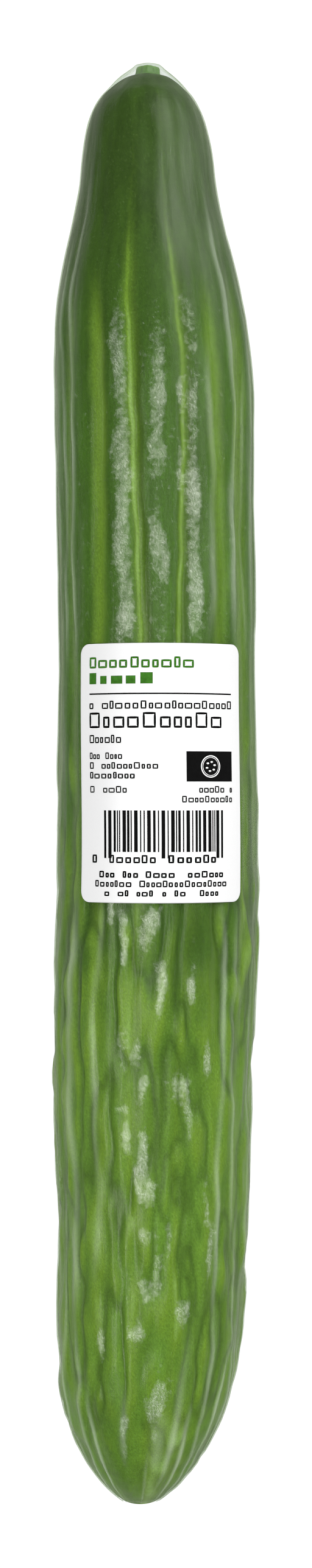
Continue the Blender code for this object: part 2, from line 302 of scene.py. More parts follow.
def dense_outline(outline, count=2000):
    """An outline as many close points (y, radius) on a smooth curve through its own."""
    points = np.array(outline, float)
    lengths = np.concatenate([[0], np.cumsum(np.hypot(*np.diff(points, axis=0).T))])
    return smooth_values(lengths, points, np.linspace(0, lengths[-1], count))


def rings_along(outline, count, turn_length=22.0):
    """The positions and radii of rings on an outline, closer together where it turns."""
    curve = dense_outline(outline)
    steps = np.diff(curve, axis=0)
    heading = np.unwrap(np.arctan2(steps[:, 1], steps[:, 0]))
    turn = np.abs(np.diff(heading, prepend=heading[0]))
    travel = np.concatenate([[0], np.cumsum(np.hypot(*steps.T) + turn_length * turn)])
    places = np.linspace(0, travel[-1], count)
    return np.interp(places, travel, curve[:, 0]), np.interp(places, travel, curve[:, 1])


def pushed_outline(outline, offset):
    """An outline moved outwards by an offset."""
    curve = dense_outline(outline, 400)
    along = np.gradient(curve, axis=0)
    along /= np.hypot(*along.T)[:, None]
    outward = np.stack([-along[:, 1], along[:, 0]], axis=1)
    outward *= np.sign(outward[:, 1:2] + 1e-9)
    pushed = curve + outward * offset
    pushed[0, 1] = pushed[-1, 1] = 0
    pushed[:, 0] = np.maximum(pushed[:, 0], outline[-1][0])
    return pushed


def film_rings():
    """Rings on the film's outline: the tent over the stem, then the fruit's pushed outwards."""
    pushed = pushed_outline(FRUIT_OUTLINE, FILM_LIFT)
    tip = int(np.argmin(pushed[:, 0]))
    body = [tuple(p) for p in pushed[:tip] if p[0] < TENT_FOOT and p[1] > MOUTH_RADIUS]
    return rings_along(FILM_TENT + body[::6] + body[-1:], bpy.context.scene.cucumber_film.rings)


def round_grid(rings, sides):
    """Angles, positions along Y and radii on a grid, with its columns closer on the upper side."""
    turn = np.linspace(0, 2 * math.pi, sides, endpoint=False)
    angle, y = np.meshgrid(np.degrees(turn - 0.33 * np.sin(turn)), rings[0])
    return angle, y, np.repeat(rings[1][:, None], sides, axis=1)


def angle_between(a, b):
    """Degrees from b to a, from -180 to 180."""
    return (a - b + 180) % 360 - 180


def furrow_field(angle, y):
    """The furrows' depth, paleness (over 1 on the thin lines, partly a painted highlight), and the
    painted shade beside the lines.
    """
    depth, pale, flank_shade = np.zeros((3, *y.shape))
    for k, (middle, half_width, paleness, line) in enumerate(FURROWS):
        sway = FURROW_SWAY * np.sin(y / (17 + 3 * (k % 4)) + 2.4 * k)
        sway += 0.35 * np.sin(y / 3.1 + 1.3 * k) + 0.25 * np.sin(y / 1.7 + 2.9 * k)
        uneven = 0.8 + 0.2 * np.sin(y / 23 + 1.7 * k)
        off = angle_between(angle, middle + sway)
        depth = np.maximum(depth, uneven * hump(off, min(half_width, WIDEST_FURROW)))
        band = np.exp(-((np.abs(off) / half_width) ** 2.6))
        if not line:
            band = band * unit((108 - y) / 16)
        pale = np.maximum(pale, paleness * (0.75 + 0.25 * uneven) * band)
        # The thin line goes above 1, partly as a painted highlight
        side = (off + 0.3 * half_width) / 1.5
        bright = 1.6 * line * uneven * (0.9 + 0.1 * np.sin(y / 2.6 + k))
        pale = np.maximum(pale, bright * np.exp(-np.abs(side) ** 3))
        # Painted shade on the rib flank right of each thin line
        flank_shade = np.maximum(flank_shade, line * hump(off - 0.75 * half_width, 2.0))
    return depth, pale, flank_shade


def noise_field(angle, y, radius, width, length, shift=0.0):
    """Smooth noise on the fruit whose lumps are width mm across and length mm along."""
    a = np.radians(angle)
    x, z = np.sin(a) * radius / width, np.cos(a) * radius / width
    places = np.stack([x + shift, z, y / length], axis=-1).reshape(-1, 3)
    return np.array([noise.noise(p) for p in places.tolist()]).reshape(y.shape)


def skin_relief(angle, y, radius):
    """How far the skin is outside its plain outline in mm, how pale it is, and where it is
    darkened: painted shade in its creases and beside its thin lines, and dark patches.
    """
    settings = bpy.context.scene.cucumber_skin
    strength, lumps = read_table(FURROW_STRENGTH, y), read_table(LUMP_STRENGTH, y)
    depth, pale, flank_shade = furrow_field(angle, y)
    pressed = 1 - hump(angle_between(angle, 180), RESTING_HALF_ANGLE)
    fine = noise_field(angle, y, radius, 2.5, 8.0, 40.0)
    wander = noise_field(angle, y, radius, LUMP_WIDTH, LUMP_LENGTH) + 0.35 * fine
    # Creases run where the noise passes through zero, and rounded lumps lie between. The creases
    # are darkened with painted shade.
    crest = unit(np.abs(wander) / 0.36)
    crest = crest * crest * (3 - 2 * crest)
    crease = unit(1.2 * lumps) * hump(wander, 0.09)
    height = settings.lump_height / MM * lumps * pressed * (crest + 0.5 * fine - 0.9)
    height -= settings.furrow_depth / MM * strength * depth
    # Five grooves run to the stem
    lobe = 0.5 - 0.5 * np.cos(5 * np.radians(angle) + 0.7)
    height -= 0.5 * lobe * np.where(y > 130, hump(radius - 7.5, 3), 0)
    for middle, half_width, darkness in PAINTED_FLANK_SHADE:
        off = angle_between(angle, middle + 1.2 * np.sin(y / 19))
        flank_shade = np.maximum(flank_shade, darkness * hump(off, half_width))
    paleness = read_table(FURROW_PALENESS, y)
    # The lumps' crests are paler, partly their own colour and partly painted light on their tops
    pale = pale * paleness + crest * unit(lumps - 0.45 + fine * unit(2 * lumps))
    # The painted flank shade darkens the skin as the creases do
    crease = np.maximum(crease, 0.8 * flank_shade * paleness)
    # One dark patch lies right of the middle, below the label
    dark_patch = np.exp(-((angle_between(angle, 22) / 13) ** 2) - ((y + 30) / 16) ** 2)
    pale *= 1 - 0.8 * dark_patch
    crease = np.maximum(crease, 0.8 * dark_patch)
    # Towards the blossom end the skin is pale right of the middle and dark left of it
    tip = unit((-118 - y) / 16)
    pale = np.maximum(pale, tip * hump(angle_between(angle, 18), 22) * (1.1 + 1.3 * fine))
    crease = np.maximum(crease, 0.5 * (tip * hump(angle_between(angle, -24), 13)))
    return np.maximum(height, -0.3 * radius), np.clip(pale, 0, 1.6), crease


def tight_round(angles, radii):
    """The radii of a skin stretched tight round each section, straight from crest to crest."""
    a = np.radians(angles)
    across = np.cos(a[:, None] - a[None, :])
    near = across > 0.45
    tight = np.empty_like(radii)
    for row, section in enumerate(radii):
        reach = np.where(near, section[None, :] * across, -np.inf).max(axis=1)
        tight[row] = np.where(near, reach[None, :] / np.where(near, across, 1), np.inf).min(axis=1)
    return tight


def fold_field(angle, y):
    """The height in mm of the lengthwise folds in the film."""
    height = np.zeros_like(y)
    for k, (middle, half_width, tall, start, end) in enumerate(FILM_FOLDS):
        sway = 1.6 * np.sin(y / (9 + 2 * (k % 3)) + 1.9 * k) + 0.9 * np.sin(y / 4.3 + k)
        sway += 0.4 * np.sin(y / 2.1 + 3 * k)
        within = unit((start - y) / 12) * unit((y - end) / 12)
        within *= 0.72 + 0.28 * np.sin(y / (5 + k % 4) + 2.7 * k)
        off = angle_between(angle, middle + sway)
        height = np.maximum(height, tall * within * hump(off, half_width))
    return height


def crinkle_field(angle, y, radius):
    """How strongly the film crinkles, from 0 to about 1, which also sets how much sparkle is
    painted on it.
    """
    uneven = noise_field(angle, y, radius, 2.2, 5.0, 11.0)
    ragged = noise_field(angle, y, radius, 4.5, 11.0, 23.0)
    field = read_table(CRINKLE_STRENGTH, y)
    start, end = CRINKLED_LENGTH
    within = unit((start - y) / 30) * unit((y - end) / 8)
    for middle, half_width, strength in CRINKLED_RIBS:
        off = angle_between(angle, middle + 0.8 * np.sin(y / 15)) / half_width
        off = np.abs(off) / (1 + 0.6 * ragged) + 0.4 * uneven
        strength = strength * (0.85 + 0.7 * ragged)
        field = np.maximum(field, strength * within * np.exp(-off * off * off * off))
    _, pale, _ = furrow_field(angle, y)
    field = np.maximum(field, within * (0.6 + ragged) * np.clip(pale - 0.9, 0, 0.6) / 0.6)
    for middle, along, half_width, half_length in CRINKLED_PATCHES:
        off = np.hypot(angle_between(angle, middle) / half_width, (y - along) / half_length)
        field = np.maximum(field, 1.1 * hump(off + 1.3 * uneven, 1))
    return field


def painted_neck_sheen(angle, y, radius):
    """How much painted sheen, a milky white standing in for a broad reflection, lies on the film
    on the right of the neck.
    """
    within = unit((147 - y) / 8) * unit((y - 92) / 24)
    streaks = 0.8 + 1.1 * noise_field(angle, y, radius, 2.4, 45.0, 7.0)
    return 0.11 * within * streaks * hump(angle_between(angle, 33), 25)


def label_waves(across, y):
    """The label's faint waviness in mm, which follows the ribs under it."""
    return 0.07 * np.sin(across / 2.3 + 0.04 * y) * np.cos(y / 21 + 0.5) + 0.04 * np.sin(y / 9)


def film_shape():
    """The film's angles, positions, radii, how closely it clings, and its folds, on one grid."""
    angle, y, radius = round_grid(film_rings(), bpy.context.scene.cucumber_film.sides)
    relief, _, _ = skin_relief(angle, y, radius)
    skin = radius + relief * unit((TENT_FOOT - y) / 6)
    # It bridges the furrows, more at the sides than on top
    sideways = unit((np.abs(angle_between(angle, 3)) - 24) / 12)
    tight = skin + (0.4 + 0.2 * sideways) * (tight_round(angle[0], skin) - skin)
    cling = hump(tight - skin, 0.3)
    # Its bends are rounded off with the columns beside
    beside = np.roll(tight, 1, axis=1) + np.roll(tight, -1, axis=1)
    further = np.roll(tight, 2, axis=1) + np.roll(tight, -2, axis=1)
    tight = np.maximum((6 * tight + 4 * beside + further) / 16, skin - 0.05)
    tent = unit((y - 141) / 6)
    pleats = 0.16 * np.cos(7 * np.radians(angle) + 0.5) + 0.1 * np.cos(13 * np.radians(angle))
    folds = fold_field(angle, y)
    tight += folds + tent * pleats * unit(radius / 6)
    # The label presses the film under it flat
    label = bpy.context.scene.cucumber_label
    across = np.radians(angle_between(angle, LABEL_TURN)) * radius
    outside = np.maximum(np.abs(across) - label.width / MM / 2,
                         np.abs(y - LABEL_MIDDLE) - label.length / MM / 2)
    most = radius + label_waves(across, y) + PRESSED_GAP + unit(outside / 3)
    return angle, y, np.minimum(tight, most), cling, folds


def place_round(angle, y, radius, lowest=-np.inf):
    """Points in metres at an angle and a radius in mm from the fruit's middle line."""
    rise = STEM_END_RISE * np.clip(y / HALF_LENGTH, 0, None) ** 2
    rise = rise + BLOSSOM_END_RISE * np.clip(-y / HALF_LENGTH, 0, None) ** 2
    a = np.radians(angle)
    x = read_table(SIDE_BOW, y) + radius * np.sin(a)
    z = np.maximum(AXIS_HEIGHT + rise + radius * np.cos(a), lowest)
    return np.stack([x, y, z], axis=-1) * MM


def on_label(across, along, lift):
    """Points in metres on the label from mm across and along it, raised by a lift in mm."""
    ys, radii = film_rings()
    y = LABEL_MIDDLE + along
    radius = np.interp(y, ys[::-1], radii[::-1])
    angle = LABEL_TURN + np.degrees(across / radius)
    return place_round(angle, y, radius + label_waves(across, y) + LABEL_GAP + lift)


def quads(index, beside):
    """Faces between the rows of a grid of vertex numbers and those of the columns beside."""
    corners = np.stack([index[:-1], beside[:-1], beside[1:], index[1:]], axis=-1)
    return corners.reshape(-1, 4).tolist()


def new_mesh(name, verts, faces):
    mesh = bpy.data.meshes.new(name)
    mesh.from_pydata(verts, [], faces)
    mesh.update()
    return mesh


def closed_round_mesh(name, points, poles=(True, True), **values):
    """A mesh through rings of points, closed at the ends that have a pole.

    Values are kept as attributes of its vertices, for its material to read.
    """
    first, last = int(poles[0]), len(points) - int(poles[1])
    ends = [end for end, closed in zip((0, -1), poles) if closed]

    def flat(grid):
        return [*grid[first:last].reshape(-1, *grid.shape[2:]).tolist(),
                *(grid[end].mean(axis=0).tolist() for end in ends)]

    sides = points.shape[1]
    index = np.arange((last - first) * sides).reshape(-1, sides)
    right = np.roll(index, -1, axis=1)
    faces = quads(index, right)
    for pole, end in enumerate(ends, index.size):
        for a, b in zip(index[end].tolist(), right[end].tolist()):
            faces.append([pole, b, a] if end == 0 else [pole, a, b])
    mesh = new_mesh(name, flat(points), faces)
    for value, grid in values.items():
        mesh.attributes.new(value, "FLOAT", "POINT").data.foreach_set("value", flat(grid))
    return mesh


def new_object(name, data, material=None):
    """An object in the scene, and a smooth one where it is given a material."""
    obj = bpy.data.objects.new(name, data)
    bpy.context.scene.collection.objects.link(obj)
    if material is not None:
        data.materials.append(material)
        data.shade_smooth()
    return obj


def face_outwards(mesh):
    """Turns every face of a closed mesh outwards."""
    bm = bmesh.new()
    bm.from_mesh(mesh)
    bmesh.ops.recalc_face_normals(bm, faces=bm.faces)
    if bm.calc_volume(signed=True) < 0:
        bmesh.ops.reverse_faces(bm, faces=bm.faces)
    bm.to_mesh(mesh)
    bm.free()


def apply_modifiers(obj):
    """Replaces an object's mesh by what its modifiers make of it."""
    evaluated = obj.evaluated_get(bpy.context.evaluated_depsgraph_get())
    mesh = bpy.data.meshes.new_from_object(evaluated)
    mesh.name = obj.name
    obj.modifiers.clear()
    obj.data = mesh


def thicken(obj, thickness, offset):
    """Gives a sheet its thickness, behind its faces (offset -1) or before them (1)."""
    wall = obj.modifiers.new("wall", "SOLIDIFY")
    wall.thickness = thickness
    wall.offset = offset
    apply_modifiers(obj)
    face_outwards(obj.data)


def add_node(tree, kind, inputs=(), **settings):
    """Adds a node, sets its properties, and sets or links its inputs.

    Inputs are given by name, or in the order in which the node shows them. Where one is
    itself a node, the first output that it shows is linked.
    """
    node = tree.nodes.new(kind)
    for name, value in settings.items():
        setattr(node, name, value)
    shown = [socket for socket in node.inputs if socket.enabled]
    for key, value in inputs.items() if isinstance(inputs, dict) else enumerate(inputs):
        socket = node.inputs[key] if isinstance(key, str) else shown[key]
        if isinstance(value, bpy.types.Node):
            value = next(output for output in value.outputs if output.enabled)
        if isinstance(value, bpy.types.NodeSocket):
            tree.links.new(value, socket)
        else:
            socket.default_value = value
    return node


def made_of(name, finish, *colours):
    """A material, whose finish adds its nodes and gives back the last one, its shader."""
    material = bpy.data.materials.new(name)
    material.use_nodes = True
    material.node_tree.nodes.clear()
    add = partial(add_node, material.node_tree)
    place = add("ShaderNodeTexCoord").outputs["Object"]
    add("ShaderNodeOutputMaterial", {"Surface": finish(add, place, *colours)})
    return material


def leathery_grain(add, place):
    """Slanting wrinkles 0.26 mm wide and 0.55 mm long, as the film and the skin under it share."""
    slanting = add("ShaderNodeMapping", {
        "Vector": place, "Rotation": (0, 0, 0.4), "Scale": (0.26 * MM, 0.55 * MM, 0.26 * MM),
    }, vector_type="TEXTURE")
    return add("ShaderNodeTexNoise", {
        "Vector": slanting, "Scale": 1.0, "Detail": 2.0, "Roughness": 0.65, "Distortion": 0.8})


def cucumber_skin(add, place):
    """Greenhouse cucumber skin: thin waxy rind, dark ribs and paler furrows.

    The wax gives a soft broad sheen, and the cells under it a fine leathery grain.
    """
    colours = bpy.context.scene.cucumber_skin
    pale = add("ShaderNodeAttribute", attribute_name="pale").outputs["Fac"]
    crease = add("ShaderNodeAttribute", attribute_name="crease").outputs["Fac"]
    along = add("ShaderNodeSeparateXYZ", {"Vector": place}).outputs["Y"]
    upper = add("ShaderNodeMapRange", (along, 0.075, 0.128), interpolation_type="SMOOTHSTEP")
    lower = add("ShaderNodeMapRange", (along, -0.02, -0.07), interpolation_type="SMOOTHSTEP")
    # Streaks 3 mm across and 25 mm long
    drawn_out = add("ShaderNodeMapping", {"Vector": place, "Scale": (330, 40, 330)})
    streaks = add("ShaderNodeTexNoise", {
        "Vector": drawn_out, "Scale": 1.0, "Detail": 4.0, "Roughness": 0.6})
    tinted = add("ShaderNodeMapRange", (streaks, 0.3, 0.7, 0.8, 1.22))
    # Mottling 1 mm across roughens the edges of the pale furrows
    mottle = add("ShaderNodeTexNoise", {
        "Vector": place, "Scale": 1100.0, "Detail": 3.0, "Roughness": 0.7})
    edge = add("ShaderNodeMath", (mottle, 0.35, -0.17), operation="MULTIPLY_ADD")
    edge = add("ShaderNodeMath", (pale, edge), operation="ADD")
    band = add("ShaderNodeMapRange", (edge, 0.05, 1.0))
    # The thin lines are paler still, partly their own colour and partly a painted highlight
    painted_line_highlight = add("ShaderNodeMapRange", (pale, 0.95, 1.6, 0.0, 0.36))
    line = add("ShaderNodeMapRange", (pale, 1.0, 1.6, 1.0, 1.2))
    # Pale pores 0.15 mm across and about 0.7 mm apart
    pores = add("ShaderNodeTexVoronoi", {"Vector": place, "Scale": 1400.0})
    dot = add("ShaderNodeMapRange", (pores, 0.22, 0.08, 0.0, 0.16))
    grain = leathery_grain(add, place)
    shade = add("ShaderNodeMapRange", (grain, 0.33, 0.67, 0.8, 1.18))
    # Painted shade: the creases, the shaded rib flanks and the dark patches are darkened in the
    # colour
    shadow = add("ShaderNodeMapRange", (crease, 0.0, 1.0, 1.0, 0.66))
    for darker in (shadow, line):
        shade = add("ShaderNodeMath", (shade, darker), operation="MULTIPLY")
    skin = colours.rib
    for blend, share, layer in (
        ("MIX", lower, colours.low_rib), ("MIX", upper, colours.neck), ("MULTIPLY", 1.0, tinted),
        ("MIX", band, colours.furrow), ("MIX", painted_line_highlight, colours.speck_and_highlight), ("MIX", dot, colours.speck_and_highlight),
        ("MULTIPLY", 1.0, shade),
    ):
        skin = add("ShaderNodeMix", (share, skin, layer), data_type="RGBA", blend_type=blend)
    bump = add("ShaderNodeBump", {"Height": grain, "Strength": 0.7, "Distance": 0.12 * MM})
    return add("ShaderNodeBsdfPrincipled", {
        "Base Color": skin, "Roughness": 0.5, "IOR": 1.42, "Specular IOR Level": 0.1,
        "Normal": bump})


def stem_flesh(add, place):
    """Cut cucumber stem: moist green flesh with fine fibres along it, paler on the cut face."""
    colours = bpy.context.scene.cucumber_stem
    along = add("ShaderNodeSeparateXYZ", {"Vector": place}).outputs["Y"]
    top = add("ShaderNodeMapRange", (along, 0.1510, 0.1524), interpolation_type="SMOOTHSTEP")
    # Fibres 0.3 mm across and 2 mm long
    drawn_out = add("ShaderNodeMapping", {"Vector": place, "Scale": (3000, 500, 3000)})
    fibres = add("ShaderNodeTexNoise", {"Vector": drawn_out, "Scale": 1.0, "Detail": 3.0})
    shade = add("ShaderNodeMapRange", (fibres, 0.3, 0.7, 0.75, 1.15))
    flesh = add("ShaderNodeMix", (top, colours.bark, colours.cut), data_type="RGBA")
    flesh = add("ShaderNodeMix", (1.0, flesh, shade), data_type="RGBA", blend_type="MULTIPLY")
    bump = add("ShaderNodeBump", {"Height": fibres, "Strength": 0.6, "Distance": 0.1 * MM})
    return add("ShaderNodeBsdfPrincipled", {
        "Base Color": flesh, "Roughness": 0.5, "Normal": bump})


def shrink_film(add, place):
    """Polyolefin shrink film: clear, glossy, drawn tight by heat.

    Smooth where it bridges the furrows, finely crinkled where it clings to the ribs, and milky
    along the folds, where it is doubled. On the crinkles the milky white is partly real scatter
    and partly their sparkle, a painted highlight, and on the right of the neck it is a painted
    sheen.
    """
    colours = bpy.context.scene.cucumber_film
    crinkle = add("ShaderNodeAttribute", attribute_name="crinkle").outputs["Fac"]
    fold = add("ShaderNodeAttribute", attribute_name="fold").outputs["Fac"]
    grain = leathery_grain(add, place)
    # Ripples 2 mm across that run along the fruit
    drawn_out = add("ShaderNodeMapping", {"Vector": place, "Scale": (500, 28, 500)})
    ripples = add("ShaderNodeTexNoise", {
        "Vector": drawn_out, "Scale": 1.0, "Detail": 3.0, "Roughness": 0.5})
    clinging = add("ShaderNodeMath", (grain, crinkle), operation="MULTIPLY")
    height = add("ShaderNodeMath", (ripples, 1.6, clinging), operation="MULTIPLY_ADD")
    bump = add("ShaderNodeBump", {"Height": height, "Strength": 1.0, "Distance": 0.15 * MM})
    gloss = add("ShaderNodeBsdfGlossy", {
        "Color": colours.shine, "Roughness": 0.18, "Normal": bump})
    # What one face mirrors and swallows, the same from either side: most at grazing angles
    facing = add("ShaderNodeLayerWeight", {"Blend": 0.5, "Normal": bump}).outputs["Facing"]
    slant = add("ShaderNodeMath", (facing, 3.0), operation="POWER")
    grazing = add("ShaderNodeMath", (facing, 4.0), operation="POWER")
    passed = add("ShaderNodeMix", (slant, colours.tint, colours.edge_tint), data_type="RGBA")
    clear = add("ShaderNodeBsdfTransparent", {"Color": passed})
    # Clumps 1.5 mm across break the crinkled places up
    clumps = add("ShaderNodeTexNoise", {
        "Vector": place, "Scale": 700.0, "Detail": 3.0, "Roughness": 0.6})
    clumped = add("ShaderNodeMath", (clumps, 1.2, crinkle), operation="MULTIPLY_ADD")
    strong = add("ShaderNodeMapRange", (clumped, 1.02, 1.9))
    mirror = add("ShaderNodeMapRange", (grazing, 0.0, 1.0, 0.005, 0.2))
    mirror = add("ShaderNodeMath", (strong, 0.05, mirror), operation="MULTIPLY_ADD")
    film = add("ShaderNodeMixShader", (mirror, clear, gloss))
    # The milky white is partly real scatter from the wrinkles and partly their painted sparkle;
    # along the folds it is doubled film, and on the neck a painted sheen
    creased = add("ShaderNodeMapRange", (grain, 0.46, 0.64, 0.05, 0.27))
    milky_and_sparkle = add("ShaderNodeMath", (creased, strong), operation="MULTIPLY")
    milky_and_sparkle = add("ShaderNodeMath", (fold, 0.3, milky_and_sparkle), operation="MULTIPLY_ADD", use_clamp=True)
    cloud_and_sparkle = add("ShaderNodeBsdfDiffuse", {"Color": colours.cloud_and_sparkle})
    return add("ShaderNodeMixShader", (milky_and_sparkle, film, cloud_and_sparkle))


def label_paper(add, place):
    """Coated label stock: bright white and satin, with a trace of its fibres."""
    # Paper fibres 0.2 mm, drawn 0.5 mm across so that they show
    fibres = add("ShaderNodeTexNoise", {"Vector": place, "Scale": 2000.0, "Detail": 3.0})
    shade = add("ShaderNodeMapRange", (fibres, 0.0, 1.0, 0.975, 1.01))
    paper = bpy.context.scene.cucumber_label.paper
    tone = add("ShaderNodeMix", (1.0, paper, shade), data_type="RGBA", blend_type="MULTIPLY")
    bump = add("ShaderNodeBump", {"Height": fibres, "Strength": 0.15, "Distance": 0.03 * MM})
    return add("ShaderNodeBsdfPrincipled", {
        "Base Color": tone, "Roughness": 0.45, "Normal": bump})


def printing_ink(add, place, ink):
    """Printing ink: a thin flat film, slightly uneven in its cover."""
    # Uneven cover in patches 0.8 mm across
    cover = add("ShaderNodeTexNoise", {"Vector": place, "Scale": 1250.0, "Detail": 2.0})
    shade = add("ShaderNodeMapRange", (cover, 0.3, 0.7, 0.85, 1.25))
    tone = add("ShaderNodeMix", (1.0, ink, shade), data_type="RGBA", blend_type="MULTIPLY")
    return add("ShaderNodeBsdfPrincipled", {
        "Base Color": tone, "Roughness": 0.6, "Specular IOR Level": 0.03})


def white_table(add, _):
    """A matt white photographic table, lit evenly from below so that shadows stay faint."""
    paint = add("ShaderNodeBsdfDiffuse", {"Color": linear("F2F2F2")})
    glow = add("ShaderNodeEmission", {"Color": WHITE, "Strength": 1.06})
    return add("ShaderNodeMixShader", (0.88, paint, glow))


class CUCUMBER_OT_add_fruit(bpy.types.Operator):
    """Adds the ribbed fruit"""

    bl_idname = "cucumber.add_fruit"
    bl_label = "Fruit"

    def execute(self, context):
        settings = context.scene.cucumber_skin
        rings = rings_along(pushed_outline(FRUIT_OUTLINE, SKIN_LIFT), settings.rings)
        angle, y, radius = round_grid(rings, settings.sides)
        relief, pale, crease = skin_relief(angle, y, radius)
        points = place_round(angle, y, radius + relief, LOWEST_SKIN)
        mesh = closed_round_mesh("cucumber_fruit", points, pale=pale, crease=crease)
        face_outwards(mesh)
        rind = made_of("cucumber rind, grown and waxed", cucumber_skin)
        fruit = new_object("cucumber_fruit", mesh, rind)
        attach(fruit, "root")
        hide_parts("fruit")
        return {"FINISHED"}


class CUCUMBER_OT_add_stem(bpy.types.Operator):
    """Adds the cut stub of the stem"""

    bl_idname = "cucumber.add_stem"
    bl_label = "Stem"

    def execute(self, context):
        rings = rings_along(STEM_OUTLINE, STEM_RINGS, turn_length=0.8)
        angle, y, radius = round_grid(rings, STEM_SIDES)
        a = np.radians(angle)
        corners = 0.06 * np.cos(5 * a) + 0.02 * np.cos(15 * a + 0.4)
        grain = 0.02 * noise_field(angle, y, radius, 0.35, 1.5)
        radius = radius * (1 + corners + grain)
        # The knife went through at a slight slant
        tilt = -0.035 * radius * np.sin(a) * unit((y - 151) / 1.2)
        points = place_round(angle, y, radius)
        points[..., 1] += tilt * MM
        mesh = closed_round_mesh("cucumber_stem", points)
        face_outwards(mesh)
        stem = new_object("cucumber_stem", mesh, made_of("plant stem, cut", stem_flesh))
        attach(stem, "root")
        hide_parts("stem")
        return {"FINISHED"}


class CUCUMBER_OT_add_film(bpy.types.Operator):
    """Adds the shrink film, tight on the ribs and tented over the stem"""

    bl_idname = "cucumber.add_film"
    bl_label = "Film"

    def execute(self, context):
        angle, y, tight, cling, folds = film_shape()
        crinkle = crinkle_field(angle, y, tight) * (0.3 + 0.7 * cling)
        # Milky where the film folds double, more towards the blossom end, plus the painted sheen
        # on the neck
        fold = folds * (1 + 0.9 * unit((-115 - y) / 20)) + painted_neck_sheen(angle, y, tight)
        points = place_round(angle, y, tight, 0.0)
        mesh = closed_round_mesh("shrink_wrap", points, (True, False), crinkle=crinkle, fold=fold)
        mesh.flip_normals()
        clear = made_of("polyolefin film, heat shrunk", shrink_film)
        film = new_object("shrink_wrap", mesh, clear)
        thicken(film, context.scene.cucumber_film.wall, -1)
        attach(film, "root")
        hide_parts("shrink_film")
        film.visible_shadow = False
        return {"FINISHED"}


def rounded_sheet(width, length, corner, columns=90, rows=120):
    """A flat grid of points of a rectangle with rounded corners.

    The outer 0.15 of its columns and rows are in the strips of the corners.
    """
    inner_x, inner_y = width / 2 - corner, length / 2 - corner

    def spread(count, inner):
        t = np.linspace(-1, 1, count)
        return np.where(np.abs(t) < 0.85, t / 0.85 * inner,
                        np.sign(t) * (inner + corner * (np.abs(t) - 0.85) / 0.15))

    x, y = np.meshgrid(spread(columns, inner_x), spread(rows, inner_y))
    a, b = unit((np.abs(x) - inner_x) / corner), unit((np.abs(y) - inner_y) / corner)
    round_x = np.sign(x) * (inner_x + corner * a * np.sqrt(1 - b * b / 2))
    round_y = np.sign(y) * (inner_y + corner * b * np.sqrt(1 - a * a / 2))
    return np.where(a > 0, round_x, x), np.where(b > 0, round_y, y)


class CUCUMBER_OT_add_label(bpy.types.Operator):
    """Adds the blank label, bent round the film"""

    bl_idname = "cucumber.add_label"
    bl_label = "Label"

    def execute(self, context):
        settings = context.scene.cucumber_label
        sizes = (settings.width / MM, settings.length / MM, settings.corner / MM)
        points = on_label(*rounded_sheet(*sizes), 0.0)
        index = np.arange(points[..., 0].size).reshape(points.shape[:2])
        faces = quads(index[:, :-1], index[:, 1:])
        mesh = new_mesh("price_label", points.reshape(-1, 3).tolist(), faces)
        label = new_object("price_label", mesh, made_of("label paper, coated", label_paper))
        thicken(label, settings.thickness, 1)
        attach(label, "root")
        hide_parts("label")
        return {"FINISHED"}


